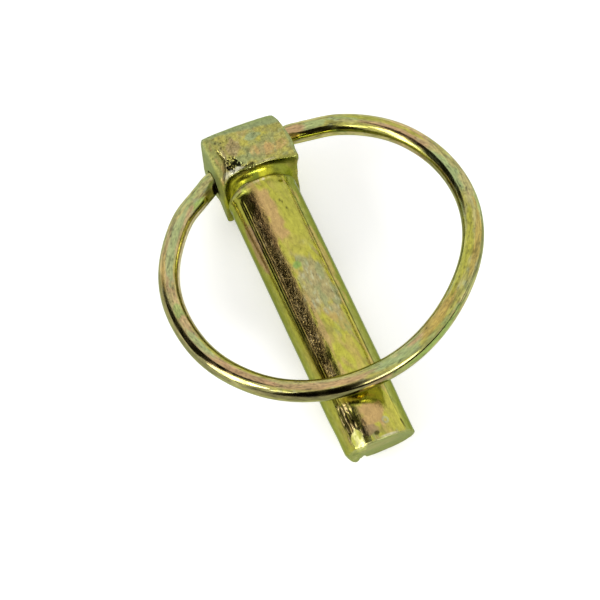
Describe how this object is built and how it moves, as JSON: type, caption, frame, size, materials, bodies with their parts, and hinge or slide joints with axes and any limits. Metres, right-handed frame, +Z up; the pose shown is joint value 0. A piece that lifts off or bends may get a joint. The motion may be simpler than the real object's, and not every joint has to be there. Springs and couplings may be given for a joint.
{
  "type": "lynch pin",
  "caption": "Lynch pin: short round shank with a squarish forged head, and a spring-wire ring that swings over and closes on the shank.",
  "frame": {"origin": "on the shank's axis, at the shoulder where the full diameter starts", "axes": "-Y along the shank towards its tip, +Z up out of the broad face of the head on the side where the ring lies, +X across the head"},
  "size_m": [0.0452, 0.0515, 0.0156],
  "materials": {
    "pin_steel": "yellow zinc passivated, olive, tan and green, satin",
    "ring_wire": "yellow zinc passivated drawn wire, glossier than the pin"
  },
  "bodies": {
    "pin": {"pin_body": "pin_steel"},
    "ring": {"spring_ring": "ring_wire"}
  },
  "joints": [
    {"name": "ring_swing", "type": "hinge", "parent": "pin", "child": "ring", "pos_m": [0.0006, 0.00615, 0], "axis": [-0.9838, -0.1505, -0.0976], "range_deg": [0, 174]}
  ]
}
